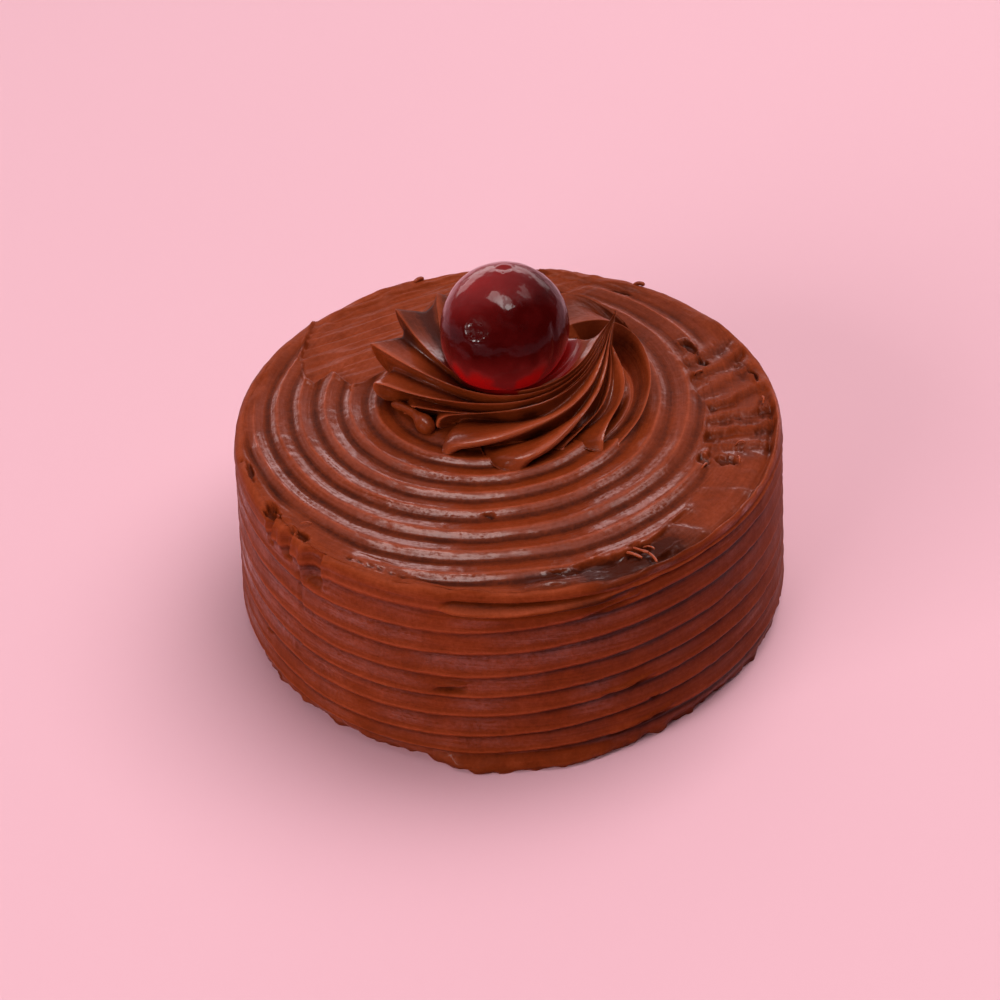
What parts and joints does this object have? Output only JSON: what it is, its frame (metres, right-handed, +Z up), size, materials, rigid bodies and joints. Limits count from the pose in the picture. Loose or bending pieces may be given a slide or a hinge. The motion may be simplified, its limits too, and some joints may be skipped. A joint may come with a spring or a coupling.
{
  "type": "chocolate cake",
  "caption": "Small round chocolate cake with combed frosting on top and sides, a piped rosette drawn up to a point and a glossy candied cherry.",
  "frame": {"origin": "centre of the flat underside", "axes": "+Z up out of the top, -Y towards the front that the picture shows, +X to the right of it"},
  "size_m": [0.1034, 0.1034, 0.0656],
  "materials": {
    "frosting": "satin, combed chocolate frosting",
    "candied_cherry": "wet gloss, deep red"
  },
  "bodies": {
    "root": {"frosted_cake": "frosting", "rosette": "frosting", "cherry": "candied_cherry"}
  },
  "joints": []
}
